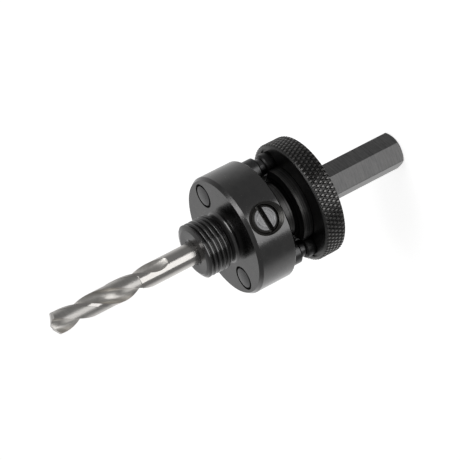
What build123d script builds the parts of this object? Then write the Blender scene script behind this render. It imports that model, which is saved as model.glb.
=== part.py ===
from build123d import *
import math
import os

# Hole saw arbor with a quarter inch pilot drill, standing on the end of its hex shank.
# Units are millimetres. The turning axis is Z, with z = 0 on the end face of the shank,
# the clamp screw on the +X side and the two drive pins on the +Y and -Y sides.

# Hex shank
hex_across_flats = 9.525
hex_turn = 15.6
hex_end_over_flats = 0.1875
hex_end_angle = 30.0
shank_length = 27.4

# Stem that the drive pin collar slides on
stem_inside_pins = 1.2
stem_edge = 0.3
stop_groove_land = 1.2
stem_out = 2.9
stem_cone = 1.3

# Neck between the stem and the drum
neck_step = 2.85
neck_fillet = 0.4

# Drum
drum_length = 11.9
drum_d = 35.0
drum_front_edge = 0.7
drum_front_edge_length = 1.05
drum_rear_edge = 0.4

# Threaded nose, with 18 turns of its thread to the inch
nose_d = 15.875
nose_length = 9.9
nose_edge = 1.2
thread_pitch = 1.411
thread_angle = 60.0
relief_depth = 0.9875
relief_length = 2.2
seat_clear_of_nose = 0.0125

# Pilot drill
drill_d = 6.35
drill_out = 45.3
drill_in = 37.2
drill_shank_edge = 0.5
point_angle = 135.0
flute_lead = 37.4
flute_length = 29.5
flute_below_tip = 17.4
flute_face_angle = 2.7
web = 1.6
flute_half_angle = 45.0
wheel_r = 15.0
wheel_lift_angle = 45.0
wheel_lap_angle = 8.0

# Bore for the drill
bore_gap = 0.05
bore_mouth_edge = 0.675
bore_mouth_depth = 0.6
bore_spare = 0.6
bore_end_angle = 118.0

# Clamp screw and its hole
screw_d = 8.0
screw_gap = 0.05
screw_behind_middle = 0.45
screw_below = 1.0
screw_edge = 0.55
screw_slot_w = 1.25
screw_slot_depth = 1.8
screw_tip_step = 1.5
screw_tip_edge = 1.0
screw_tip_gap = 0.02
screw_hole_mouth_edge = 1.15
screw_hole_mouth_angle = 90.0
flat_depth = 0.5
flat_spare = 1.5

# Drive pins
pin_d = 7.0
pin_gap = 0.05
pin_wall = 1.5
pin_front_edge = 0.4
pin_rear_edge = 0.5
pin_groove_depth = 1.05
pin_groove_w = 1.3
pin_foot_step = 0.2
pin_foot_edge = 0.3
pin_foot_out = 3.05
pin_tail_step = 1.1
pin_tail_gap = 0.01
pin_tail_inset = 0.3
pin_tail_head = 0.5
pin_way_gap = 0.3
travel_spare = 0.1

# Drive pin collar
collar_over_drum = 0.15
collar_length = 6.35
collar_travel = 7.05
collar_gap = 0.05
collar_front_edge = 0.65
collar_rear_edge = 0.4
collar_bore_edge = 0.3
foot_seat_gap = 0.3
foot_seat_depth = 0.4

# Stop ring behind the collar
ring_t = 1.2
ring_gap = 0.05
ring_seat_depth = 0.75
ring_over_stem = 1.75
ring_mouth = 6.0
ring_ear_r = 2.3
ring_ear_wall = 1.35
ring_ear_reach = 1.2

# Worked radii: the pins stand a wall inside the drum's side, and the stem, its neck,
# the collar and the stop ring follow them
hex_end_face_r = hex_across_flats / 2 + hex_end_over_flats
drum_r = drum_d / 2
pin_r = pin_d / 2
pin_hole_r = pin_r + pin_gap
pin_circle_r = drum_r - pin_wall - pin_hole_r
pin_groove_r = pin_r - pin_groove_depth
pin_foot_r = pin_r + pin_foot_step
pin_tail_r = pin_foot_r - pin_tail_step
stem_r = pin_circle_r - stem_inside_pins
neck_r = stem_r - neck_step
nose_r = nose_d / 2
relief_r = nose_r - relief_depth
# The round corner of the relief ends just outside the nose, so that a saw lies flat
relief_fillet = relief_depth + seat_clear_of_nose
# The thread has crests an eighth of its pitch wide, and floors a sixth of it
thread_floor = thread_pitch / 6
thread_groove = thread_pitch * 7 / 8
thread_slope = math.tan(math.radians(thread_angle / 2))
thread_root_r = nose_r - (thread_groove - thread_floor) / 2 / thread_slope
thread_clear_r = nose_r + thread_pitch / 20
thread_mouth = thread_groove + 2 * (thread_clear_r - nose_r) * thread_slope
drill_r = drill_d / 2
bore_r = drill_r + bore_gap
screw_r = screw_d / 2
screw_hole_r = screw_r + screw_gap
collar_r = drum_r + collar_over_drum
collar_bore_r = stem_r + collar_gap
ring_outer_r = stem_r + ring_over_stem

# Worked heights, from the end of the shank to the drill point
ring_groove_rear = shank_length + stop_groove_land
ring_rear = ring_groove_rear + ring_gap
collar_rear = ring_rear + ring_t
ring_groove_front = collar_rear + ring_gap
collar_front = collar_rear + collar_length
pin_seat = collar_front - foot_seat_depth
pin_foot_front = collar_front + pin_foot_out
pin_rear = pin_foot_front + pin_groove_w
pin_tail_end = collar_rear + pin_tail_inset
pin_way_r = pin_foot_r + pin_way_gap
stem_front = collar_front + stem_out
# The feet of the pins stop just short of the drum when the collar is forward
drum_rear = pin_foot_front + collar_travel + travel_spare
drum_front = drum_rear + drum_length
nose_front = drum_front + nose_length
thread_rear = drum_front + relief_length - relief_depth
thread_turns = math.ceil((nose_front - thread_rear) / thread_pitch + 0.5)
drill_tip = nose_front + drill_out
drill_end = nose_front - drill_in
screw_z = drum_rear + drum_length / 2 - screw_behind_middle
screw_face_x = drum_r - screw_below
screw_tip_x = drill_r - flat_depth + screw_tip_gap
pin_places = PolarLocations(pin_circle_r, 2, start_angle=90)

print("collar from z", round(collar_rear, 3), "to", round(collar_front, 3))
print("drum from z", round(drum_rear, 3), "drill tip z", round(drill_tip, 3))

os.makedirs("parts", exist_ok=True)


def cone_depth(wide_r, narrow_r, full_angle):
    """Height of a cone between two radii, from its full angle in degrees."""
    return (wide_r - narrow_r) / math.tan(math.radians(full_angle / 2))


def flute_angle(z):
    """Angle in degrees at which the middle of the first flute lies at height z."""
    return flute_face_angle + 360 * (z - drill_tip + flute_below_tip) / flute_lead


# Arbor body: shank, stem, neck, drum and nose turned from one bar
bore_depth = drill_in + bore_spare
bore_floor = nose_front - bore_depth
with BuildPart() as arbor_body:
    with BuildSketch():
        RegularPolygon(hex_across_flats / 2, 6, major_radius=False, rotation=hex_turn)
    extrude(amount=shank_length)
    # The turned chamfer that takes the six corners off the end of the shank
    corner_r = hex_across_flats
    corner_z = (corner_r - hex_end_face_r) * math.tan(math.radians(hex_end_angle))
    with BuildSketch(Plane.XZ):
        with BuildLine():
            Polyline(
                (hex_end_face_r, 0),
                (corner_r, 0),
                (corner_r, corner_z),
                close=True,
            )
        make_face()
    revolve(axis=Axis.Z, mode=Mode.SUBTRACT)
    with BuildSketch(Plane.XZ):
        with BuildLine():
            Polyline(
                (0, shank_length),
                (stem_r - stem_edge, shank_length),
                (stem_r, shank_length + stem_edge),
                (stem_r, ring_groove_rear),
                (stem_r - ring_seat_depth, ring_groove_rear),
                (stem_r - ring_seat_depth, ring_groove_front),
                (stem_r, ring_groove_front),
                (stem_r, stem_front),
                (neck_r, stem_front + stem_cone),
                (neck_r, drum_rear - neck_fillet),
            )
            RadiusArc(
                (neck_r, drum_rear - neck_fillet),
                (neck_r + neck_fillet, drum_rear),
                -neck_fillet,
            )
            Polyline(
                (neck_r + neck_fillet, drum_rear),
                (drum_r - drum_rear_edge, drum_rear),
                (drum_r, drum_rear + drum_rear_edge),
                (drum_r, drum_front - drum_front_edge_length),
                (drum_r - drum_front_edge, drum_front),
                (relief_r + relief_fillet, drum_front),
            )
            RadiusArc(
                (relief_r + relief_fillet, drum_front),
                (relief_r, drum_front + relief_fillet),
                -relief_fillet,
            )
            Polyline(
                (relief_r, drum_front + relief_fillet),
                (relief_r, thread_rear),
                (nose_r, drum_front + relief_length),
                (nose_r, nose_front - nose_edge),
                (nose_r - nose_edge, nose_front),
                (0, nose_front),
                (0, shank_length),
            )
        make_face()
    revolve(axis=Axis.Z)
    # Right hand thread: its groove starts in the relief and is cut one turn at a time
    for turn in range(thread_turns):
        turn_z = thread_rear + turn * thread_pitch
        with BuildLine():
            Helix(thread_pitch, thread_pitch, nose_r, center=(0, 0, turn_z))
        with BuildSketch(Plane.XZ):
            with BuildLine():
                Polyline(
                    (thread_root_r, turn_z - thread_floor / 2),
                    (thread_clear_r, turn_z - thread_mouth / 2),
                    (thread_clear_r, turn_z + thread_mouth / 2),
                    (thread_root_r, turn_z + thread_floor / 2),
                    close=True,
                )
            make_face()
        sweep(is_frenet=True, mode=Mode.SUBTRACT)
    # Bore for the drill, with a countersunk mouth and a drilled end
    with BuildSketch(Plane.XZ):
        with BuildLine():
            Polyline(
                (0, nose_front),
                (bore_r + bore_mouth_edge, nose_front),
                (bore_r, nose_front - bore_mouth_depth),
                (bore_r, bore_floor),
                (0, bore_floor - cone_depth(bore_r, 0, bore_end_angle)),
                close=True,
            )
        make_face()
    revolve(axis=Axis.Z, mode=Mode.SUBTRACT)
    # Holes that the drive pins slide in
    with BuildSketch(Plane.XY.offset(drum_front)):
        with pin_places:
            Circle(pin_hole_r)
    extrude(amount=-drum_length, mode=Mode.SUBTRACT)
    # Ways along the stem that the feet of the pins run in
    with BuildSketch(Plane.XY.offset(ring_groove_front)):
        with pin_places:
            Circle(pin_way_r)
    extrude(amount=drum_rear - neck_fillet - ring_groove_front, mode=Mode.SUBTRACT)
    # Hole for the clamp screw, from the side of the drum into the bore
    with BuildSketch(Plane.YZ):
        with Locations((0, screw_z)):
            Circle(screw_hole_r)
    extrude(amount=drum_r, mode=Mode.SUBTRACT)
    mouth_r = screw_hole_r + screw_hole_mouth_edge
    mouth_depth = cone_depth(mouth_r, screw_hole_r, screw_hole_mouth_angle)
    mouth_out = drum_r + mouth_depth
    with BuildSketch(Plane.XZ):
        with BuildLine():
            Polyline(
                (drum_r - mouth_depth, screw_z),
                (drum_r - mouth_depth, screw_z + screw_hole_r),
                (mouth_out, screw_z + screw_hole_r + mouth_out - drum_r + mouth_depth),
                (mouth_out, screw_z),
                close=True,
            )
        make_face()
    revolve(axis=Axis((0, 0, screw_z), (1, 0, 0)), mode=Mode.SUBTRACT)
arbor_body.part.label = "arbor_body"
export_step(arbor_body.part, "parts/arbor_body.step")

# Pilot drill: a two flute twist drill with a flat for the clamp screw
flute_start = drill_tip - flute_length
web_r = web / 2
lip_x = drill_r * math.cos(math.radians(flute_half_angle))
lip_y = drill_r * math.sin(math.radians(flute_half_angle))
# The flute is a round groove that touches the web and both edges of its mouth
flute_centre = (lip_x**2 + lip_y**2 - web_r**2) / (2 * (lip_x - web_r))
flute_r = flute_centre - web_r
flute_tilt = math.atan(2 * math.pi * flute_centre / flute_lead)
flute_run = flute_length + drill_d / 4
up = Vector(0, 0, 1)
with BuildPart() as pilot_drill:
    with BuildSketch(Plane.XZ):
        with BuildLine():
            Polyline(
                (0, drill_end),
                (drill_r - drill_shank_edge, drill_end),
                (drill_r, drill_end + drill_shank_edge),
                (drill_r, drill_tip - cone_depth(drill_r, 0, point_angle)),
                (0, drill_tip),
                close=True,
            )
        make_face()
    revolve(axis=Axis.Z)
    for half_turn in (0, 180):
        turn = math.radians(flute_angle(flute_start) + half_turn)
        outward = Vector(math.cos(turn), math.sin(turn), 0)
        # The full flute, a round section that turns as it climbs to the point
        flute_plane = Plane(origin=up * flute_start, x_dir=outward)
        with BuildSketch(flute_plane, mode=Mode.PRIVATE) as flute_section:
            with Locations((flute_centre, 0)):
                Circle(flute_r)
        flute = Solid.extrude_linear_with_rotation(
            flute_section.sketch.face(),
            up * flute_start,
            up * flute_run,
            360 * flute_run / flute_lead,
        )
        add(flute, mode=Mode.SUBTRACT)
        # The run-out, where the grinding wheel lifts out of the drill
        along = up * math.cos(flute_tilt) + up.cross(outward) * math.sin(flute_tilt)
        start = outward * flute_centre + up * flute_start
        wheel_centre = start + outward * wheel_r
        wheel_way = outward.cross(along)
        wheel_plane = Plane(origin=start, x_dir=outward, z_dir=along)
        with BuildSketch(wheel_plane, mode=Mode.PRIVATE) as wheel_section:
            Circle(flute_r)
        for way, arc in ((wheel_way, wheel_lift_angle), (wheel_way * -1, wheel_lap_angle)):
            revolve(
                wheel_section.sketch,
                axis=Axis(wheel_centre, way),
                revolution_arc=arc,
                mode=Mode.SUBTRACT,
            )
    # Flat that the clamp screw bears on
    flat_rise = screw_r + flat_spare
    with BuildSketch(Plane.XY.offset(screw_z - flat_rise)):
        with Locations((drill_r, 0)):
            Rectangle(2 * flat_depth, drill_d)
    extrude(amount=2 * flat_rise, mode=Mode.SUBTRACT)
pilot_drill.part.label = "pilot_drill"
export_step(pilot_drill.part, "parts/pilot_drill.step")

# Clamp screw with a slotted head end, pressed on the flat of the drill
with BuildPart() as clamp_screw:
    with BuildSketch(Plane.XZ):
        with BuildLine():
            Polyline(
                (screw_tip_x, screw_z),
                (screw_tip_x, screw_z + screw_r - screw_tip_step),
                (screw_tip_x + screw_tip_edge, screw_z + screw_r),
                (screw_face_x - screw_edge, screw_z + screw_r),
                (screw_face_x, screw_z + screw_r - screw_edge),
                (screw_face_x, screw_z),
                close=True,
            )
        make_face()
    revolve(axis=Axis((0, 0, screw_z), (1, 0, 0)))
    with BuildSketch(Plane.YZ.offset(screw_face_x)):
        with Locations((0, screw_z)):
            Rectangle(screw_d, screw_slot_w)
    extrude(amount=-screw_slot_depth, mode=Mode.SUBTRACT)
clamp_screw.part.label = "clamp_screw"
export_step(clamp_screw.part, "parts/clamp_screw.step")

# Drive pin collar, drawn over the crests of its knurl
with BuildPart() as pin_collar:
    with BuildSketch(Plane.XZ):
        with BuildLine():
            Polyline(
                (collar_bore_r, collar_rear + collar_bore_edge),
                (collar_bore_r + collar_bore_edge, collar_rear),
                (collar_r - collar_rear_edge, collar_rear),
                (collar_r, collar_rear + collar_rear_edge),
                (collar_r, collar_front - collar_front_edge),
                (collar_r - collar_front_edge, collar_front),
                (collar_bore_r + collar_bore_edge, collar_front),
                (collar_bore_r, collar_front - collar_bore_edge),
                close=True,
            )
        make_face()
    revolve(axis=Axis.Z)
    # Holes for the tails of the pins, with a seat for each foot
    with BuildSketch(Plane.XY.offset(collar_rear)):
        with pin_places:
            Circle(pin_tail_r + pin_tail_gap)
    extrude(amount=collar_length, mode=Mode.SUBTRACT)
    with BuildSketch(Plane.XY.offset(pin_seat)):
        with pin_places:
            Circle(pin_foot_r + foot_seat_gap)
    extrude(amount=foot_seat_depth, mode=Mode.SUBTRACT)
    # Rear countersinks that the tails are spread into
    for place in pin_places.local_locations:
        head_axis = place.position
        with BuildSketch(Plane(origin=head_axis, x_dir=(1, 0, 0), z_dir=(0, -1, 0))):
            with BuildLine():
                Polyline(
                    (0, collar_rear),
                    (pin_tail_r + pin_tail_gap + pin_tail_inset + pin_tail_head, collar_rear),
                    (pin_tail_r + pin_tail_gap, collar_rear + pin_tail_inset + pin_tail_head),
                    (0, collar_rear + pin_tail_inset + pin_tail_head),
                    close=True,
                )
            make_face()
        revolve(axis=Axis(head_axis, (0, 0, 1)), mode=Mode.SUBTRACT)
pin_collar.part.label = "pin_collar"
export_step(pin_collar.part, "parts/pin_collar.step")

# Drive pins, each with a foot on the collar and a tail spread behind it
for number, place in enumerate(pin_places.local_locations, start=1):
    pin_axis = place.position
    with BuildPart() as drive_pin:
        with BuildSketch(Plane(origin=pin_axis, x_dir=(1, 0, 0), z_dir=(0, -1, 0))):
            with BuildLine():
                Polyline(
                    (0, pin_tail_end),
                    (pin_tail_r + pin_tail_head, pin_tail_end),
                    (pin_tail_r, pin_tail_end + pin_tail_head),
                    (pin_tail_r, pin_seat),
                    (pin_foot_r, pin_seat),
                    (pin_foot_r, pin_foot_front - pin_foot_edge),
                    (pin_foot_r - pin_foot_edge, pin_foot_front),
                    (pin_groove_r, pin_foot_front),
                    (pin_groove_r, pin_rear),
                    (pin_r - pin_rear_edge, pin_rear),
                    (pin_r, pin_rear + pin_rear_edge),
                    (pin_r, drum_front - pin_front_edge),
                    (pin_r - pin_front_edge, drum_front),
                    (0, drum_front),
                    close=True,
                )
            make_face()
        revolve(axis=Axis(pin_axis, (0, 0, 1)))
    drive_pin.part.label = f"drive_pin_{number}"
    export_step(drive_pin.part, f"parts/drive_pin_{number}.step")

# Stop ring: an open spring ring with two ears, in the groove behind the collar
ring_inner_r = stem_r - ring_seat_depth + ring_gap
ear_centre_r = ring_outer_r + ring_ear_reach
ear_angle = math.degrees(math.asin((ring_mouth / 2 + ring_ear_r) / ear_centre_r))
ear_x = -ear_centre_r * math.cos(math.radians(ear_angle))
ear_y = ear_centre_r * math.sin(math.radians(ear_angle))
ear_places = Locations((ear_x, ear_y), (ear_x, -ear_y))
with BuildPart() as stop_ring:
    with BuildSketch(Plane.XY.offset(ring_rear)):
        Circle(ring_outer_r)
        with ear_places:
            Circle(ring_ear_r)
        Circle(ring_inner_r, mode=Mode.SUBTRACT)
        with Locations((-ring_outer_r, 0)):
            Rectangle(2 * ring_outer_r, ring_mouth, mode=Mode.SUBTRACT)
        with ear_places:
            Circle(ring_ear_r - ring_ear_wall, mode=Mode.SUBTRACT)
    extrude(amount=ring_t)
stop_ring.part.label = "stop_ring"
export_step(stop_ring.part, "parts/stop_ring.step")
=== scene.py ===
import math

import bmesh
import bpy
from mathutils import Matrix, Vector


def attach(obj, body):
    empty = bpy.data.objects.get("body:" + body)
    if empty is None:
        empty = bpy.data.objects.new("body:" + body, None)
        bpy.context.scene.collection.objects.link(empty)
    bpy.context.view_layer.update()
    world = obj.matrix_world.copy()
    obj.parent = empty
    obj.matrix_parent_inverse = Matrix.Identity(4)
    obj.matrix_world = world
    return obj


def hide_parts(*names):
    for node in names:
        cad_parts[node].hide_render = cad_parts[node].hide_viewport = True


# Hole saw arbor with its pilot drill, standing on the end of its hex shank.
# Sizes are written in millimetres and turned into metres when a mesh is made.
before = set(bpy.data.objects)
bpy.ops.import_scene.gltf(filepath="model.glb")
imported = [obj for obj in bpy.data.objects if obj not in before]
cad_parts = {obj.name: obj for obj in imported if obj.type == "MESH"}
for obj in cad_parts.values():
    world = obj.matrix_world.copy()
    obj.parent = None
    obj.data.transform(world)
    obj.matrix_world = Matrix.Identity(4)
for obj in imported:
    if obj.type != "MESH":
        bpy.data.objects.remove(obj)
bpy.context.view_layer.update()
MM = 0.001

# Heights along the turning axis, from the end of the shank to the drill point
stem_rear = 27.4
ring_rear = 28.6
ring_front = 29.9
collar_rear = 29.85
collar_front = 36.2
stem_front = 39.1
drum_rear = 46.4
drum_front = 58.3
nose_front = 68.2
drill_end = 31.0
drill_tip = 113.5
screw_z = 51.9

# Radii of the turned surfaces
hex_r = 9.525 / 2
stem_r = 11.25
neck_r = 8.4
drum_r = 17.5
nose_r = 7.9375
relief_r = 6.95
bore_r = 3.225
drill_r = 3.175
collar_r = 17.65
pin_circle_r = 12.45
pin_r = 3.5
screw_r = 4.0
screw_face = drum_r - 1.0

# How many sides a round surface gets, on the arbor and collar, on a pin and on the screw
round_steps = 256
pin_steps = 96
screw_steps = 128


# ---------- meshes ----------

def point_on(radius, angle, height):
    """A point of the turned work, from its radius, its angle in radians and its height."""
    return (radius * math.cos(angle), radius * math.sin(angle), height)


def make_object(name, points, faces, tints=None):
    """Makes an object from points in millimetres. tints gives a material number to each face."""
    mesh = bpy.data.meshes.new(name)
    mesh.from_pydata([[c * MM for c in p] for p in points], [], faces)
    if tints:
        mesh.polygons.foreach_set("material_index", tints)
    obj = bpy.data.objects.new(name, mesh)
    bpy.context.scene.collection.objects.link(obj)
    tidy_mesh(obj)
    return obj


def tidy_mesh(obj):
    """Welds points that lie on each other, drops faces with no area and turns the faces outwards."""
    work = bmesh.new()
    work.from_mesh(obj.data)
    bmesh.ops.remove_doubles(work, verts=work.verts, dist=0.0005 * MM)
    bmesh.ops.dissolve_degenerate(work, dist=0.0005 * MM, edges=work.edges)
    bmesh.ops.recalc_face_normals(work, faces=work.faces)
    work.to_mesh(obj.data)
    work.free()


def rounded(corners, steps=3):
    """Turns corners (radius, height, rounding) into a line whose corners are small arcs."""
    line = []
    last = len(corners) - 1
    for i, corner in enumerate(corners):
        here = Vector(corner[:2])
        size = corner[2] if len(corner) > 2 else 0
        if not size or i in (0, last):
            line.append(tuple(here))
            continue
        back = (Vector(corners[i - 1][:2]) - here).normalized()
        on = (Vector(corners[i + 1][:2]) - here).normalized()
        half = back.angle(on) / 2
        reach = size / math.tan(half)
        middle = here + (back + on).normalized() * (size / math.sin(half))
        start = here + back * reach - middle
        turn = start.angle_signed(here + on * reach - middle)
        for k in range(steps + 1):
            line.append(tuple(middle + Matrix.Rotation(-turn * k / steps, 2) @ start))
    return line


def skin(name, rows, tints=None):
    """Skins rows of points and closes both ends. Each row starts and ends on the same angle.

    tints, where it is given, tells the material number of a face from its row and column.
    """
    count = len(rows[0])
    points = [p for row in rows for p in row]
    faces = []
    marks = []
    for r in range(len(rows) - 1):
        for c in range(count - 1):
            low = r * count + c
            faces.append((low, low + 1, low + count + 1, low + count))
            marks.append(tints(r, c) if tints else 0)
    last = (len(rows) - 1) * count
    faces.append(tuple(reversed(range(count - 1))))
    faces.append(tuple(range(last, last + count - 1)))
    marks += [tints(0, None), tints(len(rows) - 1, None)] if tints else [0, 0]
    return make_object(name, points, faces, marks)


def turned(name, line, steps=round_steps):
    """Turns a line of (radius, height) about the Z axis. Both its ends lie on the axis."""
    turns = [2 * math.pi * k / steps for k in range(steps)]
    points = []
    rings = []
    for radius, height in line:
        if radius < 1e-6:
            rings.append([len(points)] * steps)
            points.append((0, 0, height))
        else:
            rings.append(list(range(len(points), len(points) + steps)))
            points += [point_on(radius, a, height) for a in turns]
    faces = []
    for low, high in zip(rings, rings[1:]):
        for k in range(steps):
            m = (k + 1) % steps
            face = []
            for index in (low[k], low[m], high[m], high[k]):
                if index not in face:
                    face.append(index)
            if len(face) > 2:
                faces.append(face)
    return make_object(name, points, faces)


def placed(obj, matrix):
    """Moves the points of a mesh by a matrix in millimetres, so that the object stays at the origin."""
    matrix = matrix.copy()
    matrix.translation = matrix.translation * MM
    obj.data.transform(matrix)
    return obj


def at_pin(side):
    """The place of a drive pin's axis, on the side given in degrees."""
    return Matrix.Rotation(math.radians(side), 4, "Z") @ Matrix.Translation((pin_circle_r, 0, 0))


def at_screw():
    """The place of the clamp screw's axis, which points out of the drum."""
    return Matrix.Translation((0, 0, screw_z)) @ Matrix.Rotation(math.radians(90), 4, "Y")


def carve(obj, tool, how="DIFFERENCE"):
    """Cuts obj with tool, or keeps only what they share, and drops the tool."""
    step = obj.modifiers.new("carve", "BOOLEAN")
    step.operation = how
    step.solver = "EXACT"
    step.object = tool
    graph = bpy.context.evaluated_depsgraph_get()
    result = bpy.data.meshes.new_from_object(obj.evaluated_get(graph))
    obj.modifiers.clear()
    obj.data = result
    bpy.data.objects.remove(tool)
    tidy_mesh(obj)
    return obj


def finish_surface(obj, angle=32):
    """Shades smooth, keeps the sharp edges and holds the flat faces flat."""
    for face in obj.data.polygons:
        face.use_smooth = True
    obj.data.set_sharp_from_angle(angle=math.radians(angle))
    weigh = obj.modifiers.new("even_shading", "WEIGHTED_NORMAL")
    weigh.keep_sharp = True
    weigh.weight = 80


def crisp_rim(obj, height):
    """Keeps the rims of the flat face at a height crisp, however shallow the chamfer beside them."""
    work = bmesh.new()
    work.from_mesh(obj.data)
    for edge in work.edges:
        level = all(abs(p.co.z - height * MM) < 0.002 * MM for p in edge.verts)
        if level and edge.calc_face_angle(0) > math.radians(8):
            edge.smooth = False
    work.to_mesh(obj.data)
    work.free()


def lasting(i, j=0):
    """A number from 0 to 1 that looks random and is the same in every run."""
    value = math.sin(i * 12.9898 + j * 78.233) * 43758.5453
    return value - math.floor(value)


# ---------- arbor body ----------

# Thread of the nose, its relief and the chamfer in front of it
thread_pitch = 1.411
thread_base = 59.73
thread_depth = 0.7
thread_crest = 0.5
crest_round = 0.16
root_round = 0.05
nose_edge = 1.5
nose_edge_length = 0.45
relief_end = 60.0
relief_round = 1.0

# Edges and holes of the body
drum_edge = 0.7
drum_edge_length = 1.05
rear_edge = 0.4
neck_fillet = 0.4
neck_cone = 1.3
stem_edge = 0.3
groove_depth = 0.75
bore_mouth_r = 3.9
bore_mouth_length = 0.6
bore_tip = 28.5
bore_end = 30.4
near_axis = 0.01  # how far from the axis the closing rings of the body stay
pin_hole_r = 3.55
pin_way_r = 4.0
screw_hole_r = 4.05
screw_hole_end = 2.0
mouth_depth = 1.15
mouth_step = 0.38
mouth_steps = 3

# Hex shank: how it is turned about the axis, and the chamfer of its end
shank_turn = math.radians(15.6)
shank_ease = 0.18
shank_end_r = 4.78
shank_end_angle = math.radians(36)
shank_flat_step = 0.44


def thread_rows(angles):
    """Rows that follow the thread, from the front of the nose back to the relief."""
    flank = thread_depth * math.tan(math.radians(30))
    root_r = nose_r - thread_depth
    one_turn = rounded((
        (nose_r, 0),
        (nose_r, -thread_crest / 2, crest_round),
        (root_r, -thread_crest / 2 - flank, root_round),
        (root_r, thread_crest / 2 + flank - thread_pitch, root_round),
        (nose_r, thread_crest / 2 - thread_pitch, crest_round),
        (nose_r, -thread_pitch),
    ))[:-1]
    low_r = nose_r - nose_edge
    slope = nose_edge / nose_edge_length
    turns = math.ceil((nose_front - thread_base) / thread_pitch) + 1
    rows = []
    for turn in range(turns, -3, -1):
        for radius, drop in one_turn:
            row = []
            for a in angles:
                z = thread_base + (turn + 0.5 + a / (2 * math.pi)) * thread_pitch + drop
                z = min(max(z, relief_end), nose_front)
                in_chamfer = low_r + (nose_front - z) * slope
                out_of_relief = relief_r + z - relief_end
                row.append(point_on(min(radius, in_chamfer, out_of_relief), a, z))
            rows.append(row)
    return rows


def make_arbor():
    """Stem, neck, drum and threaded nose in one mesh, with their holes cut."""
    angles = [2 * math.pi * k / round_steps for k in range(round_steps + 1)]
    front_line = rounded((
        (near_axis, bore_tip),
        (bore_r, bore_end),
        (bore_r, nose_front - bore_mouth_length),
        (bore_mouth_r, nose_front, 0.05),
        (nose_r - nose_edge, nose_front),
    ))
    quarter = [math.radians(11.25 * k) for k in range(9)]
    rear_line = [
        (relief_r + relief_round * (1 - math.cos(t)), drum_front + relief_round * (1 - math.sin(t)))
        for t in quarter
    ]
    rear_line += rounded((
        (relief_r + relief_round, drum_front),
        (drum_r - drum_edge, drum_front, 0.1),
        (drum_r, drum_front - drum_edge_length, 0.1),
        (drum_r, drum_rear + rear_edge, 0.1),
        (drum_r - rear_edge, drum_rear, 0.1),
        (neck_r + neck_fillet, drum_rear),
        (neck_r + 0.3 * neck_fillet, drum_rear - 0.3 * neck_fillet),
        (neck_r, drum_rear - neck_fillet),
        (neck_r, stem_front + neck_cone, 0.1),
        (stem_r, stem_front, 0.1),
        (stem_r, ring_front, 0.05),
        (stem_r - groove_depth, ring_front, 0.05),
        (stem_r - groove_depth, ring_rear, 0.05),
        (stem_r, ring_rear, 0.05),
        (stem_r, stem_rear + stem_edge, 0.06),
        (stem_r - stem_edge, stem_rear, 0.06),
        (near_axis, stem_rear),
    ))
    rows = [[point_on(r, a, z) for a in angles] for r, z in front_line]
    rows += thread_rows(angles)
    rows += [[point_on(r, a, z) for a in angles] for r, z in rear_line]
    arbor = skin("arbor", rows)
    for side in (90, -90):
        hole = turned("pin_hole", (
            (0, drum_front + 0.1),
            (pin_hole_r + 0.05, drum_front + 0.1),
            (pin_hole_r, drum_front - 0.05),
            (pin_hole_r, drum_rear + 0.1),
            (pin_hole_r + 0.2, drum_rear - 0.1),
            (0, drum_rear - 0.1),
        ), pin_steps)
        carve(arbor, placed(hole, at_pin(side)))
        # The way of the pin's foot along the stem starts just inside the ring's groove
        low, high = ring_front - 0.02, drum_rear - neck_fillet
        way = turned("pin_way", ((0, low), (pin_way_r, low), (pin_way_r, high), (0, high)), pin_steps)
        carve(arbor, placed(way, at_pin(side)))
    mouth_floor = drum_r - mouth_depth
    mouth = []
    for k in range(mouth_steps):
        radius, out = screw_hole_r + mouth_step * k, mouth_floor + mouth_step * k
        mouth += [(radius + 0.02, out), (radius + 0.1, out + 0.05), (radius + 0.36, out + 0.3)]
    past = drum_r + 0.4
    screw_hole = turned("screw_hole", (
        [(0, screw_hole_end), (screw_hole_r, screw_hole_end), (screw_hole_r, mouth_floor - 0.02)]
        + mouth + [(screw_hole_r + 1.55, past), (0, past)]
    ), screw_steps)
    return carve(arbor, placed(screw_hole, at_screw()))


def make_shank():
    """Hex shank with eased edges and its end turned to a chamfer."""
    outline = []
    for corner in range(6):
        a = shank_turn + corner * math.pi / 3
        middle = Vector((math.cos(a), math.sin(a))) * ((hex_r - shank_ease) / math.cos(math.pi / 6))
        for k in range(5):
            b = a + math.pi / 6 * (k - 2) / 2
            outline.append(middle + Vector((math.cos(b), math.sin(b))) * shank_ease)
        on = a + math.pi / 6
        along = Vector((-math.sin(on), math.cos(on)))
        for k in range(1, 12):
            outline.append(Vector((math.cos(on), math.sin(on))) * hex_r + along * (k - 6) * shank_flat_step)
    rim = 0.08
    heights = [0, 0.03] + [rim + 0.05 * k for k in range(12)]
    heights += [1, 6, 12, 18, 24, stem_rear + stem_edge]
    rows = []
    for z in heights:
        limit = shank_end_r + z / math.tan(shank_end_angle) - max(0, rim - z) * 1.2
        row = [(p * min(1, limit / p.length)).to_tuple() + (z,) for p in outline]
        rows.append(row + row[:1])
    return skin("shank", rows)


# ---------- pilot drill ----------

# Flutes: the wheel lifts out between flute_start and run_out, and the middle of the first
# flute stands at flute_angle degrees where the drill is flute_height high
flute_start = 84.0
run_out = 76.5
flute_height = 96.1
flute_angle = 2.7
web_r = 0.8
flute_half_width = 2.245
flute_depth = 1.445
flute_shape = 3.4
flute_lead = 37.4
flute_tilt = math.radians(28.76)
flute_deeper = 0.2
swing_r = 2.4
wheel_r = 15.0
row_step = 0.25

# Lands: a margin of full size beside each flute, and the rest ground back
relief_start = 86.5
relief_rise = 0.1
relief_depth = 0.13
margin = 0.95
margin_edge = 0.07
land_points = 40
margin_points = 4
flute_points = 36

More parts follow.
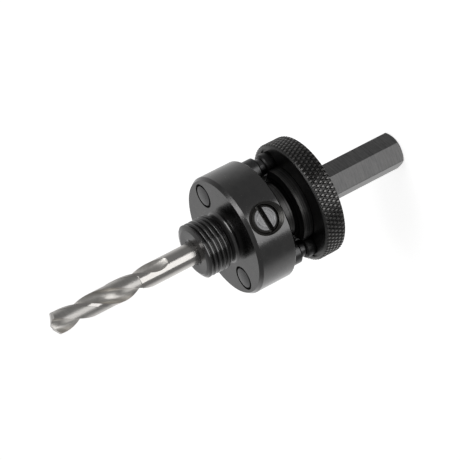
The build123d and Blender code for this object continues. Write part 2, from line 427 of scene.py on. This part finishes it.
# The point of the drill, as slopes of its flanks and of the heels behind them
point_slope = 0.414
point_relief = 0.19
heel_slope = 0.40
heel_relief = 0.62
heel_back = 1.1
heel_drop = 0.1
lip_ahead = math.radians(135)

# The flat under the clamp screw, and the chamfer of the end in the bore
flat_depth = 0.5
flat_half_length = 5.5
end_edge = 0.5
end_share = 0.84


def flute_place(z):
    """Angle of the middle of the first flute, and how far its floor lies from the axis."""
    turning_z = max(z, flute_start)
    turned_to = math.radians(flute_angle + 360 * (turning_z - flute_height) / flute_lead)
    if z >= flute_start:
        return turned_to, web_r - flute_deeper * (z - flute_start) / (drill_tip - flute_start)
    back = flute_start - z
    sine = min(1, back / (wheel_r * math.cos(flute_tilt)))
    floor_r = web_r + wheel_r * (1 - math.sqrt(1 - sine * sine))
    side = back * math.tan(flute_tilt)
    return turned_to - math.atan2(side, floor_r + swing_r), floor_r


def flute_wall(floor_r, side):
    """Distance from the axis, measured along the flute's middle, of its wall at a side step."""
    return floor_r + flute_depth * (abs(side) / flute_half_width) ** flute_shape


def flute_mouth(floor_r, radius):
    """Half of the angle that the flute takes out of a round of this radius."""
    low, high = 0.0, math.pi / 2
    for _ in range(30):
        middle = (low + high) / 2
        if radius * math.cos(middle) > flute_wall(floor_r, radius * math.sin(middle)):
            low = middle
        else:
            high = middle
    return low


def drill_section(z):
    """The drill's outline at a height: a land, a flute, a land and a flute."""
    angle, floor_r = flute_place(max(z, run_out))
    land_r = drill_r - relief_depth * min(1, max(0, (z - relief_start) / relief_rise))
    half_heel = flute_mouth(floor_r, land_r)
    half_lip = flute_mouth(floor_r, drill_r)
    points = []
    for side in (0, math.pi):
        start = angle + side + half_heel
        end = angle + side + math.pi - half_lip
        ground_end = end - (margin + margin_edge) / drill_r
        on_land = land_points - margin_points
        for k in range(on_land):
            points.append(point_on(land_r, start + (ground_end - start) * k / (on_land - 1), z))
        for k in range(margin_points):
            back = margin / drill_r * (margin_points - 1 - k) / (margin_points - 1)
            points.append(point_on(drill_r, end - back, z))
        middle = angle + side + math.pi
        for k in range(1, flute_points):
            t = 2 * k / flute_points - 1
            reach = drill_r * math.sin(half_lip) if t < 0 else land_r * math.sin(half_heel)
            across = reach * t * (1.5 - 0.5 * t * t)
            out = min(flute_wall(floor_r, across), math.sqrt(drill_r**2 - across**2))
            x = out * math.cos(middle) - across * math.sin(middle)
            y = out * math.sin(middle) + across * math.cos(middle)
            points.append((x, y, z))
    return points + points[:1]


def drill_tint(rows_z):
    """Material numbers along the drill: 0 ground shank and margins, 1 flutes, 2 relieved lands."""
    per_side = land_points + flute_points - 1

    def tint(row, column):
        if column is None or rows_z[row] < run_out:
            return 0
        c = column % per_side
        if c >= land_points - 1:
            return 1
        if rows_z[row] >= relief_start and c < land_points - margin_points:
            return 2
        return 0

    return tint


def half_space_block(planes):
    """A large block cut down by planes, each a point in millimetres and an outward direction."""
    size = 200
    above_tip = 2
    work = bmesh.new()
    bmesh.ops.create_cube(work, size=size)
    for p in work.verts:
        p.co.z += drill_tip - size / 2 + above_tip
    for origin, outward in planes:
        geometry = work.verts[:] + work.edges[:] + work.faces[:]
        cut = bmesh.ops.bisect_plane(
            work, geom=geometry, plane_co=origin, plane_no=outward, clear_outer=True
        )
        rim = [e for e in cut["geom_cut"] if isinstance(e, bmesh.types.BMEdge)]
        bmesh.ops.contextual_create(work, geom=rim)
    bmesh.ops.scale(work, vec=(MM, MM, MM), verts=work.verts)
    bmesh.ops.recalc_face_normals(work, faces=work.faces)
    mesh = bpy.data.meshes.new("point_block")
    work.to_mesh(mesh)
    work.free()
    obj = bpy.data.objects.new("point_block", mesh)
    bpy.context.scene.collection.objects.link(obj)
    return obj


def make_drill():
    """Quarter inch twist drill with run-out flutes, relieved lands and a ground point."""
    heights = [drill_end, drill_end + end_edge, 50, 70]
    heights += [run_out + row_step * k for k in range(int((drill_tip + 1 - run_out) / row_step) + 1)]
    heights = sorted(heights + [relief_start + relief_rise])
    rows = [drill_section(z) for z in heights]
    rows[0] = [(x * end_share, y * end_share, z) for x, y, z in rows[0]]
    drill = skin("drill", rows, drill_tint(heights))
    # It gets its materials before it is carved, so that its faces keep their numbers
    dress(drill, shank_bright, flute_bright, land_matt)
    # The point: two flanks that meet in a chisel edge, each with a steeper heel behind it
    lip = flute_place(drill_tip)[0] + lip_ahead
    tip = Vector((0, 0, drill_tip))
    up = Vector((0, 0, 1))
    planes = []
    for side in (0, math.pi):
        out = Vector((math.cos(lip + side), math.sin(lip + side), 0))
        ahead = Vector((-out.y, out.x, 0))
        planes.append((tip, up + out * point_slope - ahead * point_relief))
        heel = tip + up * heel_drop - ahead * heel_back
        planes.append((heel, up + out * heel_slope - ahead * heel_relief))
    carve(drill, half_space_block(planes), "INTERSECT")
    flat = half_space_block([
        (Vector((drill_r - flat_depth, 0, 0)), Vector((-1, 0, 0))),
        (Vector((0, 0, screw_z + flat_half_length)), up),
    ])
    carve(flat, half_space_block([(Vector((0, 0, screw_z - flat_half_length)), up)]))
    return carve(drill, flat)


# ---------- collar ----------

knurl_count = 80
knurl_rise = 2.38
knurl_depth = 0.48
knurl_lines = ((0, 0), (0.06, 0), (0.30, 1), (0.70, 1), (0.94, 0))
knurl_least = 0.93
knurl_lean = 0.05
collar_front_edge = 0.65
collar_rear_edge = 0.4
collar_bore = 11.3
foot_seat_r = 4.0
tail_hole_r = 2.61


def make_knurl():
    """A disc whose rim carries the diamond knurl, cut by two crossing sets of slanted grooves.

    Each diamond is a small grid of points over both sets of grooves. Its crest is a little
    lower than full and leans a little, as on a real knurl.
    """
    lines = list(knurl_lines) + [(1, 0)]
    points = []
    faces = []
    past = 0.3  # how far the disc goes past the collar's faces before it is trimmed
    reach = 3  # rows of diamonds on each side of the middle one
    for k in range(2 * knurl_count):
        for m in range(-reach, reach + 1):
            if (k + m) % 2:
                continue
            i, j = (k + m) // 2, (k - m) // 2
            # The remainders keep both numbers positive where the round starts
            crest = knurl_depth * (knurl_least + (1 - knurl_least) * lasting(i % 997, j % 991))
            lean = (lasting(i + 7, j) - 0.5) * knurl_lean
            roll = (lasting(i, j + 13) - 0.5) * knurl_lean
            base = len(points)
            for su, hu in lines:
                for sv, hv in lines:
                    u, v = i + su, j + sv
                    top = min(hu, hv)
                    r = collar_r - knurl_depth + crest * top
                    if top == 1:
                        r += lean * (su - 0.5) + roll * (sv - 0.5) - knurl_lean / 2
                    a = math.pi * (u + v) / knurl_count
                    z = (collar_rear + collar_front) / 2 + (u - v) / 2 * knurl_rise
                    points.append(point_on(min(r, collar_r), a, z))
            n = len(lines)
            for a in range(n - 1):
                for b in range(n - 1):
                    low, high = base + a * n + b, base + (a + 1) * n + b
                    q = (low, high, high + 1, low + 1)
                    # The corner cells are split along the ridge between two flanks
                    if (a, b) in ((1, 1), (3, 3)):
                        faces += [(q[0], q[1], q[2]), (q[0], q[2], q[3])]
                    elif (a, b) in ((1, 3), (3, 1)):
                        faces += [(q[0], q[1], q[3]), (q[1], q[2], q[3])]
                    else:
                        faces.append(q)
    obj = make_object("collar", points, faces)
    work = bmesh.new()
    work.from_mesh(obj.data)
    for height, way in ((collar_front + past, 1), (collar_rear - past, -1)):
        geometry = work.verts[:] + work.edges[:] + work.faces[:]
        bmesh.ops.bisect_plane(
            work, geom=geometry, dist=0.00001 * MM, clear_outer=True,
            plane_co=(0, 0, height * MM), plane_no=(0, 0, way),
        )
    rims = [e for e in work.edges if e.is_boundary]
    bmesh.ops.holes_fill(work, edges=rims, sides=0)
    bmesh.ops.recalc_face_normals(work, faces=work.faces)
    work.to_mesh(obj.data)
    work.free()
    return obj


def make_collar():
    """Knurled collar with chamfered rims and seats for the feet of the drive pins."""
    collar = make_knurl()
    past_rim = collar_r + 0.02
    ring = turned("ring", rounded((
        (0, collar_rear),
        (collar_r - collar_rear_edge, collar_rear, 0.06),
        (past_rim, collar_rear + collar_rear_edge),
        (past_rim, collar_front - collar_front_edge),
        (collar_r - collar_front_edge - 0.2, collar_front, 0.25),
        (0, collar_front),
    )))
    carve(collar, ring, "INTERSECT")
    hole = turned("bore", (
        (0, collar_rear - 0.1),
        (collar_bore + 0.4, collar_rear - 0.1),
        (collar_bore, collar_rear + 0.3),
        (collar_bore, collar_front - 0.3),
        (collar_bore + 0.4, collar_front + 0.1),
        (0, collar_front + 0.1),
    ))
    carve(collar, hole)
    for side in (90, -90):
        seat = turned("seat", (
            (0, collar_rear - 0.1),
            (tail_hole_r + 0.94, collar_rear - 0.1),
            (tail_hole_r, collar_rear + 0.8),
            (tail_hole_r, collar_front - 0.4),
            (foot_seat_r, collar_front - 0.4),
            (foot_seat_r, collar_front - 0.08),
            (foot_seat_r + 0.2, collar_front + 0.12),
            (0, collar_front + 0.12),
        ), pin_steps)
        carve(collar, placed(seat, at_pin(side)))
    return collar


# ---------- drive pins and screw ----------

# Drive pin, from its spread tail behind the collar to its stepped end in the drum's face
tail_end = 30.15
tail_r = 3.1
tail_edge = 0.5
pin_seat = 35.8
foot_r = 3.3
foot_front = 38.9
pin_neck_r = 2.45
pin_stem_r = 2.6
pin_rear = 40.55
pin_end_r = 2.9
pin_end_length = 0.65

# Clamp screw
screw_tip = 2.695
screw_tip_r = 2.5
screw_edge = 0.85
screw_edge_length = 0.5
face_ring_r = 2.5
face_ring_depth = 0.1
slot_length = 10.0
slot_width = 1.5
slot_depth = 1.8
slot_turn = math.radians(6)


def make_pin(name, side):
    """A drive pin with its groove, its foot on the collar and its spread tail."""
    pin = turned(name, rounded((
        (0, tail_end),
        (tail_r, tail_end, 0.05),
        (pin_stem_r, tail_end + tail_edge),
        (pin_stem_r, pin_seat),
        (foot_r, pin_seat, 0.05),
        (foot_r, foot_front - 0.4, 0.1),
        (foot_r - 0.4, foot_front, 0.1),
        (pin_neck_r, foot_front),
        (pin_neck_r, pin_rear),
        (pin_r - 0.5, pin_rear, 0.08),
        (pin_r, pin_rear + 0.5, 0.12),
        (pin_r, drum_front - pin_end_length - 0.1, 0.08),
        (pin_end_r + 0.05, drum_front - pin_end_length),
        (pin_end_r, drum_front, 0.08),
        (0, drum_front),
    )), pin_steps)
    return placed(pin, at_pin(side))


def make_screw():
    """Clamp screw: a grub screw with a chamfer, a slot and a ring turned in its face."""
    screw = turned("screw", rounded((
        (0, screw_tip),
        (screw_tip_r, screw_tip, 0.1),
        (screw_r, screw_tip + 1.0, 0.1),
        (screw_r, screw_face - screw_edge_length, 0.12),
        (screw_r - screw_edge, screw_face, 0.08),
        (face_ring_r + 0.2, screw_face),
        (face_ring_r + 0.1, screw_face - face_ring_depth),
        (face_ring_r - 0.1, screw_face - face_ring_depth),
        (face_ring_r - 0.2, screw_face),
        (0, screw_face),
    )), screw_steps)
    slot = bmesh.new()
    bmesh.ops.create_cube(slot, size=1)
    size = Vector((slot_width, slot_length, 2 * slot_depth)) * MM
    bmesh.ops.scale(slot, vec=size, verts=slot.verts)
    mesh = bpy.data.meshes.new("slot")
    slot.to_mesh(mesh)
    slot.free()
    cutter = bpy.data.objects.new("slot", mesh)
    bpy.context.scene.collection.objects.link(cutter)
    in_face = Matrix.Translation((0, 0, screw_face)) @ Matrix.Rotation(slot_turn, 4, "Z")
    carve(screw, placed(cutter, in_face))
    return placed(screw, at_screw())


# ---------- materials ----------

def put(tree, kind, values=None, **settings):
    """Adds a shader node with its settings and the values of its sockets."""
    made = tree.nodes.new(kind)
    for key, value in settings.items():
        setattr(made, key, value)
    for key, value in (values or {}).items():
        made.inputs[key].default_value = value
    return made


def shader_group(name, sockets_in, sockets_out):
    """Starts a shared node group and returns it with its input and output nodes."""
    group = bpy.data.node_groups.new(name, "ShaderNodeTree")
    for label, kind, value in sockets_in:
        socket = group.interface.new_socket(name=label, in_out="INPUT", socket_type=kind)
        if value is not None:
            socket.default_value = value
    for label, kind in sockets_out:
        group.interface.new_socket(name=label, in_out="OUTPUT", socket_type=kind)
    return group, group.nodes.new("NodeGroupInput"), group.nodes.new("NodeGroupOutput")


def place_in_mm(tree):
    """The place of a point on its piece, in millimetres."""
    place = put(tree, "ShaderNodeTexCoord")
    size = put(tree, "ShaderNodeVectorMath", {"Scale": 1 / MM}, operation="SCALE")
    tree.links.new(place.outputs["Object"], size.inputs[0])
    return size.outputs[0]


def mixed(tree, share, first, second):
    """Two values blended, with this share of the second."""
    blend = put(tree, "ShaderNodeMix", {"Factor": share}, data_type="FLOAT")
    tree.links.new(first, blend.inputs["A"])
    tree.links.new(second, blend.inputs["B"])
    return blend.outputs["Result"]


def make_grain_group():
    """Fine grain of a metal skin: a cloudy tone, sparse pale specks and a height."""
    group, start, end = shader_group(
        "metal grain",
        [("Grain scale", "NodeSocketFloat", 4.0), ("Cloud scale", "NodeSocketFloat", 0.35)],
        [("Tone", "NodeSocketFloat"), ("Specks", "NodeSocketFloat"), ("Height", "NodeSocketFloat")],
    )
    link = group.links.new
    place = place_in_mm(group)
    cloud = put(group, "ShaderNodeTexNoise", {"Detail": 3.0, "Roughness": 0.6})
    link(place, cloud.inputs["Vector"])
    link(start.outputs["Cloud scale"], cloud.inputs["Scale"])
    grain = put(group, "ShaderNodeTexNoise", {"Detail": 2.0, "Roughness": 0.7})
    link(place, grain.inputs["Vector"])
    link(start.outputs["Grain scale"], grain.inputs["Scale"])
    spread = put(group, "ShaderNodeMapRange", {"From Min": 0.35, "From Max": 0.65})
    link(mixed(group, 0.45, cloud.outputs["Fac"], grain.outputs["Fac"]), spread.inputs["Value"])
    link(spread.outputs["Result"], end.inputs["Tone"])
    # Specks: the middle of a cell, in the few cells whose random number is high enough
    cells = put(group, "ShaderNodeTexVoronoi", {"Scale": 1.3})
    link(place, cells.inputs["Vector"])
    dots = put(group, "ShaderNodeMapRange", {
        "From Min": 0.05, "From Max": 0.12, "To Min": 1.0, "To Max": 0.0,
    })
    link(cells.outputs["Distance"], dots.inputs["Value"])
    number = put(group, "ShaderNodeSeparateColor")
    link(cells.outputs["Color"], number.inputs["Color"])
    few = put(group, "ShaderNodeMath", {1: 0.72}, operation="GREATER_THAN")
    link(number.outputs["Red"], few.inputs[0])
    specks = put(group, "ShaderNodeMath", operation="MULTIPLY")
    link(dots.outputs["Result"], specks.inputs[0])
    link(few.outputs[0], specks.inputs[1])
    link(specks.outputs[0], end.inputs["Specks"])
    link(grain.outputs["Fac"], end.inputs["Height"])
    return group


def make_marks_group():
    """Fine parallel tool marks across one direction, uneven in strength."""
    group, start, end = shader_group(
        "tool marks",
        [("Way", "NodeSocketFloat", 0.0), ("Side", "NodeSocketFloat", 0.0),
         ("Marks per mm", "NodeSocketFloat", 6.0)],
        [("Mark", "NodeSocketFloat")],
    )
    link = group.links.new
    place = put(group, "ShaderNodeCombineXYZ")
    fine = put(group, "ShaderNodeMath", operation="MULTIPLY")
    link(start.outputs["Way"], fine.inputs[0])
    link(start.outputs["Marks per mm"], fine.inputs[1])
    link(fine.outputs[0], place.inputs["X"])
    link(start.outputs["Side"], place.inputs["Y"])
    noise = put(group, "ShaderNodeTexNoise", {"Scale": 1.0, "Detail": 2.0, "Roughness": 0.6})
    link(place.outputs[0], noise.inputs["Vector"])
    spread = put(group, "ShaderNodeMapRange", {"From Min": 0.3, "From Max": 0.7})
    link(noise.outputs["Fac"], spread.inputs["Value"])
    link(spread.outputs["Result"], end.inputs["Mark"])
    return group


def line_marks(tree, place, marks, per_mm):
    """Tool marks of one kind: across the part, turned about its axis or about the clamp screw.

    Turned marks follow the distance from the axis and the height. The marks about the screw
    follow the distance from its own axis.
    """
    link = tree.links.new
    lines = put(tree, "ShaderNodeGroup", {"Marks per mm": per_mm}, node_tree=marks_group)
    parts = put(tree, "ShaderNodeSeparateXYZ")
    link(place, parts.inputs[0])
    if marks == "across":
        side = put(tree, "ShaderNodeMath", {1: 0.25}, operation="MULTIPLY")
        link(parts.outputs["Z"], lines.inputs["Way"])
        link(parts.outputs["Y"], side.inputs[0])
        link(side.outputs[0], lines.inputs["Side"])
        return lines.outputs["Mark"]
    centre = put(tree, "ShaderNodeCombineXYZ")
    total = put(tree, "ShaderNodeMath", {1: 0.5}, operation="ADD")
    if marks == "about_screw":
        from_screw = put(tree, "ShaderNodeMath", {1: screw_z}, operation="SUBTRACT")
        link(parts.outputs["Z"], from_screw.inputs[0])
        link(parts.outputs["Y"], centre.inputs["X"])
        link(from_screw.outputs[0], centre.inputs["Y"])
    else:
        link(parts.outputs["X"], centre.inputs["X"])
        link(parts.outputs["Y"], centre.inputs["Y"])
        link(parts.outputs["Z"], total.inputs[1])
    away = put(tree, "ShaderNodeVectorMath", operation="LENGTH")
    link(centre.outputs[0], away.inputs[0])
    link(away.outputs["Value"], total.inputs[0])
    link(total.outputs[0], lines.inputs["Way"])
    return lines.outputs["Mark"]


def painted_groove_shade(tree, place):
    """Painted shade: dark at the bottom of the knurl's grooves and on the collar's front face inside them,
    paler on each crest.
    """
    link = tree.links.new
    flat = put(tree, "ShaderNodeVectorMath", {1: (1, 1, 0)}, operation="MULTIPLY")
    link(place, flat.inputs[0])
    away = put(tree, "ShaderNodeVectorMath", operation="LENGTH")
    link(flat.outputs[0], away.inputs[0])
    crest = put(tree, "ShaderNodeMapRange", {
        "From Min": collar_r - 0.8 * knurl_depth, "From Max": collar_r - 0.02,
    })
    link(away.outputs["Value"], crest.inputs["Value"])
    return crest.outputs["Result"]


def steel(name, dark, pale, roughness, spread, bump, marks=None, per_mm=6.0, mark_share=0.5,
          specks=None, grain_scale=4.0, stretch=0.0):
    """A steel skin with its grain and, where marks says which way they run, its tool marks.

    Grain and marks together give a tone, from dark to pale and from smooth to rough, and a
    height that dents the skin by at most bump millimetres. With a negative spread the pale
    places are the smooth ones. specks is the colour of the specks.
    """
    material = bpy.data.materials.new(name)
    material.use_nodes = True
    tree = material.node_tree
    link = tree.links.new
    shader = tree.nodes["Principled BSDF"]
    shader.inputs["Metallic"].default_value = 1.0
    shader.inputs["Anisotropic"].default_value = stretch
    shader.inputs["Anisotropic Rotation"].default_value = 0.25
    grain = put(tree, "ShaderNodeGroup", {"Grain scale": grain_scale}, node_tree=grain_group)
    tone = grain.outputs["Tone"]
    height = grain.outputs["Height"]
    # The knurl's tone is painted shade, dark in its grooves and on the collar's front face.
    if marks == "crests":
        tone = mixed(tree, mark_share, tone, painted_groove_shade(tree, place_in_mm(tree)))
    elif marks:
        mark = line_marks(tree, place_in_mm(tree), marks, per_mm)
        tone = mixed(tree, mark_share, tone, mark)
        height = mixed(tree, mark_share, height, mark)
    colour = put(tree, "ShaderNodeMix", {"A": (*dark, 1), "B": (*pale, 1)}, data_type="RGBA")
    link(tone, colour.inputs["Factor"])
    if specks:
        dotted = put(tree, "ShaderNodeMix", {"B": (*specks, 1)}, data_type="RGBA")
        link(grain.outputs["Specks"], dotted.inputs["Factor"])
        link(colour.outputs["Result"], dotted.inputs["A"])
        colour = dotted
    link(colour.outputs["Result"], shader.inputs["Base Color"])
    rough = put(tree, "ShaderNodeMapRange", {
        "To Min": roughness - spread, "To Max": roughness + spread,
    })
    link(tone, rough.inputs["Value"])
    link(rough.outputs["Result"], shader.inputs["Roughness"])
    dent = put(tree, "ShaderNodeBump", {"Strength": 1.0, "Distance": bump * MM})
    link(height, dent.inputs["Height"])
    link(dent.outputs["Normal"], shader.inputs["Normal"])
    return material


def material_where(obj, number, chosen):
    """Gives the material of this number to the faces whose middle, in millimetres, is chosen."""
    for face in obj.data.polygons:
        if chosen(*(face.center / MM)):
            face.material_index = number


def in_screw_mouth(x, y, z):
    """Whether a point lies in the countersunk mouth of the clamp screw's hole."""
    near_screw = x > 14 and math.hypot(y, z - screw_z) < screw_hole_r + 1.1
    return near_screw and math.hypot(x, y) < drum_r - 0.03


def dress(obj, *materials):
    """Gives an object its materials in order. Its faces keep their material numbers."""
    worn = obj.data.materials
    for k, material in enumerate(materials):
        if k < len(worn):
            worn[k] = material
        else:
            worn.append(material)


grain_group = make_grain_group()
marks_group = make_marks_group()

black_steel = steel(
    "blackened steel", dark=(0.115, 0.115, 0.117), pale=(0.16, 0.158, 0.156), roughness=0.20,
    spread=0.04, bump=0.006, marks="turned", per_mm=5, mark_share=0.35, specks=(0.4, 0.4, 0.4),
    grain_scale=5,
)
shank_steel = steel(
    "milled shank", dark=(0.11, 0.11, 0.112), pale=(0.235, 0.233, 0.23), roughness=0.38,
    spread=0.08, bump=0.02, marks="across", per_mm=2.2, mark_share=0.65, grain_scale=3,
)
pin_steel = steel(
    "blackened pin", dark=(0.07, 0.07, 0.072), pale=(0.14, 0.14, 0.14), roughness=0.30,
    spread=0.06, bump=0.008, marks="turned", per_mm=5, mark_share=0.5, grain_scale=4,
)
# Its colour carries painted shade, dark in the knurl's grooves and on the collar's front face.
knurl_steel = steel(
    "knurled steel", dark=(0.06, 0.06, 0.06), pale=(0.225, 0.22, 0.215), roughness=0.29,
    spread=-0.05, bump=0.02, marks="crests", mark_share=0.65, grain_scale=6,
)
screw_steel = steel(
    "turned screw", dark=(0.06, 0.06, 0.063), pale=(0.34, 0.34, 0.345), roughness=0.30,
    spread=0.08, bump=0.03, marks="about_screw", per_mm=3, mark_share=0.8, grain_scale=5,
)
# Painted shade: a much darker colour for the countersunk mouth of the screw hole and the screw's sides
# inside it; the turned marks about the screw are real.
mouth_shade_steel = steel(
    "screw hole mouth", dark=(0.03, 0.029, 0.028), pale=(0.16, 0.157, 0.15), roughness=0.34,
    spread=0.08, bump=0.03, marks="about_screw", per_mm=3.5, mark_share=0.7, grain_scale=3,
)
# The stem and neck between drum and collar: rough turned marks, and a darker colour that is painted shade.
neck_shade_steel = steel(
    "turned neck", dark=(0.035, 0.035, 0.035), pale=(0.15, 0.148, 0.145), roughness=0.34,
    spread=0.08, bump=0.04, marks="turned", per_mm=2.2, mark_share=0.75, specks=(0.4, 0.4, 0.4),
    grain_scale=3,
)
# Painted shade: a near black colour for the pins' feet, stems and tails between drum and collar.
foot_shade_steel = steel(
    "pin foot", dark=(0.03, 0.03, 0.031), pale=(0.075, 0.075, 0.075), roughness=0.36,
    spread=0.08, bump=0.03, specks=(0.35, 0.35, 0.34), grain_scale=3,
)
ring_steel = steel(
    "spring steel", dark=(0.09, 0.09, 0.092), pale=(0.15, 0.15, 0.15), roughness=0.34,
    spread=0.05, bump=0.01, grain_scale=5,
)
shank_bright = steel(
    "ground drill shank", dark=(0.56, 0.54, 0.52), pale=(0.7, 0.68, 0.655), roughness=0.22,
    spread=0.04, bump=0.003, marks="turned", per_mm=8, mark_share=0.6, grain_scale=6, stretch=0.6,
)
flute_bright = steel(
    "drill flute", dark=(0.56, 0.54, 0.51), pale=(0.8, 0.78, 0.745), roughness=0.36,
    spread=0.06, bump=0.008, marks="turned", per_mm=3, mark_share=0.3, grain_scale=4,
)
land_matt = steel(
    "drill land", dark=(0.5, 0.485, 0.465), pale=(0.66, 0.645, 0.62), roughness=0.36,
    spread=0.06, bump=0.012, marks="across", per_mm=6, mark_share=0.5, grain_scale=5,
)


# ---------- pieces ----------

arbor = make_arbor()
finish_surface(arbor)
crisp_rim(arbor, nose_front)
dress(arbor, black_steel, mouth_shade_steel, neck_shade_steel)
# The mouth of the screw hole gets the darker colour of painted shade.
material_where(arbor, 1, in_screw_mouth)
# The stem and neck behind the drum get the darker colour of painted shade.
material_where(arbor, 2, lambda x, y, z: z < drum_rear - 0.1)
shank = make_shank()
finish_surface(shank)
dress(shank, shank_steel)
for piece in (arbor, shank):
    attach(piece, "arbor")
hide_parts("arbor_body")

drill = make_drill()
finish_surface(drill, 25)
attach(drill, "arbor")
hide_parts("pilot_drill")

collar = make_collar()
finish_surface(collar)
dress(collar, knurl_steel)
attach(collar, "collar")
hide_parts("pin_collar")

for name, side, node in (("pin_up", 90, "drive_pin_1"), ("pin_down", -90, "drive_pin_2")):
    pin = make_pin(name, side)
    finish_surface(pin)
    dress(pin, pin_steel, foot_shade_steel)
    # The pin's foot, stem and tail behind the drum get this painted shade.
    material_where(pin, 1, lambda x, y, z: z < foot_front + 0.3)
    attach(pin, "collar")
    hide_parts(node)

screw = make_screw()
finish_surface(screw)
dress(screw, screw_steel, mouth_shade_steel)
# The screw's sides below its face get the same painted shade.
material_where(screw, 1, lambda x, y, z: x < screw_face - 0.15)
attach(screw, "screw")
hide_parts("clamp_screw")

stop_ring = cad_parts["stop_ring"]
dress(stop_ring, ring_steel)

# ---------- floor, light and camera ----------

# The view of the photo: the point looked at, and the turn, rise, distance and roll of the camera
aim = Vector((0.0, 0.0007, 0.0556))
view_turn = math.radians(2.608)
view_rise = math.radians(22.740)
view_distance = 0.6052
view_roll = math.radians(117.247)
to_camera = Vector((
    math.cos(view_rise) * math.cos(view_turn),
    math.cos(view_rise) * math.sin(view_turn),
    math.sin(view_rise),
))

camera_data = bpy.data.cameras.new("camera")
camera_data.sensor_width = 36
camera_data.lens = 173.8
camera_data.shift_x = -0.00096
camera_data.shift_y = 0.0013
camera_data.clip_start = 0.05
camera_data.clip_end = 20
camera = bpy.data.objects.new("camera", camera_data)
bpy.context.scene.collection.objects.link(camera)
level = to_camera.to_track_quat("Z", "Y").to_matrix().to_4x4()
camera.matrix_world = (
    Matrix.Translation(aim + to_camera * view_distance) @ level @ Matrix.Rotation(-view_roll, 4, "Z")
)
bpy.context.scene.camera = camera


def softbox(name, direction, distance, width, height, power):
    """A large soft lamp that looks at the middle of the arbor."""
    data = bpy.data.lights.new(name, "AREA")
    data.shape = "RECTANGLE"
    data.size = width
    data.size_y = height
    data.energy = power
    lamp = bpy.data.objects.new(name, data)
    bpy.context.scene.collection.objects.link(lamp)
    way = Vector(direction).normalized()
    facing = way.to_track_quat("Z", "Y").to_matrix().to_4x4()
    lamp.matrix_world = Matrix.Translation(aim + way * distance) @ facing


softbox("right_softbox", (0.902, -0.192, -0.387), distance=0.7, width=0.65, height=0.40, power=1.15)
softbox("left_softbox", (0.36, 0.42, 0.83), distance=0.7, width=0.46, height=0.46, power=1.5)

# The room: dim behind the camera, bright behind the arbor, with a soft light low on one side.
# The camera itself sees plain white.
room_dim = 0.21
room_bright = 0.76
low_side = (-0.652, -0.652, -0.387)
low_strength = 0.28
paper_glow = 0.75

world = bpy.data.worlds.new("studio")
bpy.context.scene.world = world
world.use_nodes = True
tree = world.node_tree
link = tree.links.new
tree.nodes.clear()
ray = put(tree, "ShaderNodeLightPath")
place = put(tree, "ShaderNodeTexCoord")
behind = put(tree, "ShaderNodeVectorMath", {1: -to_camera}, operation="DOT_PRODUCT")
link(place.outputs["Generated"], behind.inputs[0])
below = put(tree, "ShaderNodeVectorMath", {1: low_side}, operation="DOT_PRODUCT")
link(place.outputs["Generated"], below.inputs[0])
back_light = put(tree, "ShaderNodeMapRange", {
    "From Min": -0.1, "From Max": 1.0, "To Min": room_dim, "To Max": room_bright,
}, interpolation_type="SMOOTHSTEP")
link(behind.outputs["Value"], back_light.inputs["Value"])
low_light = put(tree, "ShaderNodeMapRange", {
    "From Min": 0.6, "From Max": 0.85, "To Min": 0.0, "To Max": low_strength,
}, interpolation_type="SMOOTHSTEP")
link(below.outputs["Value"], low_light.inputs["Value"])
both = put(tree, "ShaderNodeMath", operation="ADD")
link(back_light.outputs["Result"], both.inputs[0])
link(low_light.outputs["Result"], both.inputs[1])
strength = put(tree, "ShaderNodeMix", {"B": 1.0}, data_type="FLOAT")
link(ray.outputs["Is Camera Ray"], strength.inputs["Factor"])
link(both.outputs[0], strength.inputs["A"])
sky = put(tree, "ShaderNodeBackground", {"Color": (1, 1, 1, 1)})
link(strength.outputs["Result"], sky.inputs["Strength"])
out = put(tree, "ShaderNodeOutputWorld")
link(sky.outputs[0], out.inputs["Surface"])

# A wide sheet of white paper that glows a little for the camera and stays out of reflections
floor_mesh = bpy.data.meshes.new("floor")
half = 6.0
floor_corners = [(-half, -half, 0), (half, -half, 0), (half, half, 0), (-half, half, 0)]
floor_mesh.from_pydata(floor_corners, [], [(0, 1, 2, 3)])
floor = bpy.data.objects.new("floor", floor_mesh)
bpy.context.scene.collection.objects.link(floor)
floor.visible_glossy = False
floor.visible_shadow = False
floor_paper = bpy.data.materials.new("white paper")
floor_paper.use_nodes = True
tree = floor_paper.node_tree
paper = tree.nodes["Principled BSDF"]
paper.inputs["Base Color"].default_value = (0.8, 0.8, 0.8, 1)
paper.inputs["Roughness"].default_value = 0.9
ray = put(tree, "ShaderNodeLightPath")
glow = put(tree, "ShaderNodeMath", {1: paper_glow}, operation="MULTIPLY")
tree.links.new(ray.outputs["Is Camera Ray"], glow.inputs[0])
paper.inputs["Emission Color"].default_value = (1, 1, 1, 1)
tree.links.new(glow.outputs[0], paper.inputs["Emission Strength"])
floor.data.materials.append(floor_paper)

bpy.context.scene.view_settings.view_transform = "Standard"
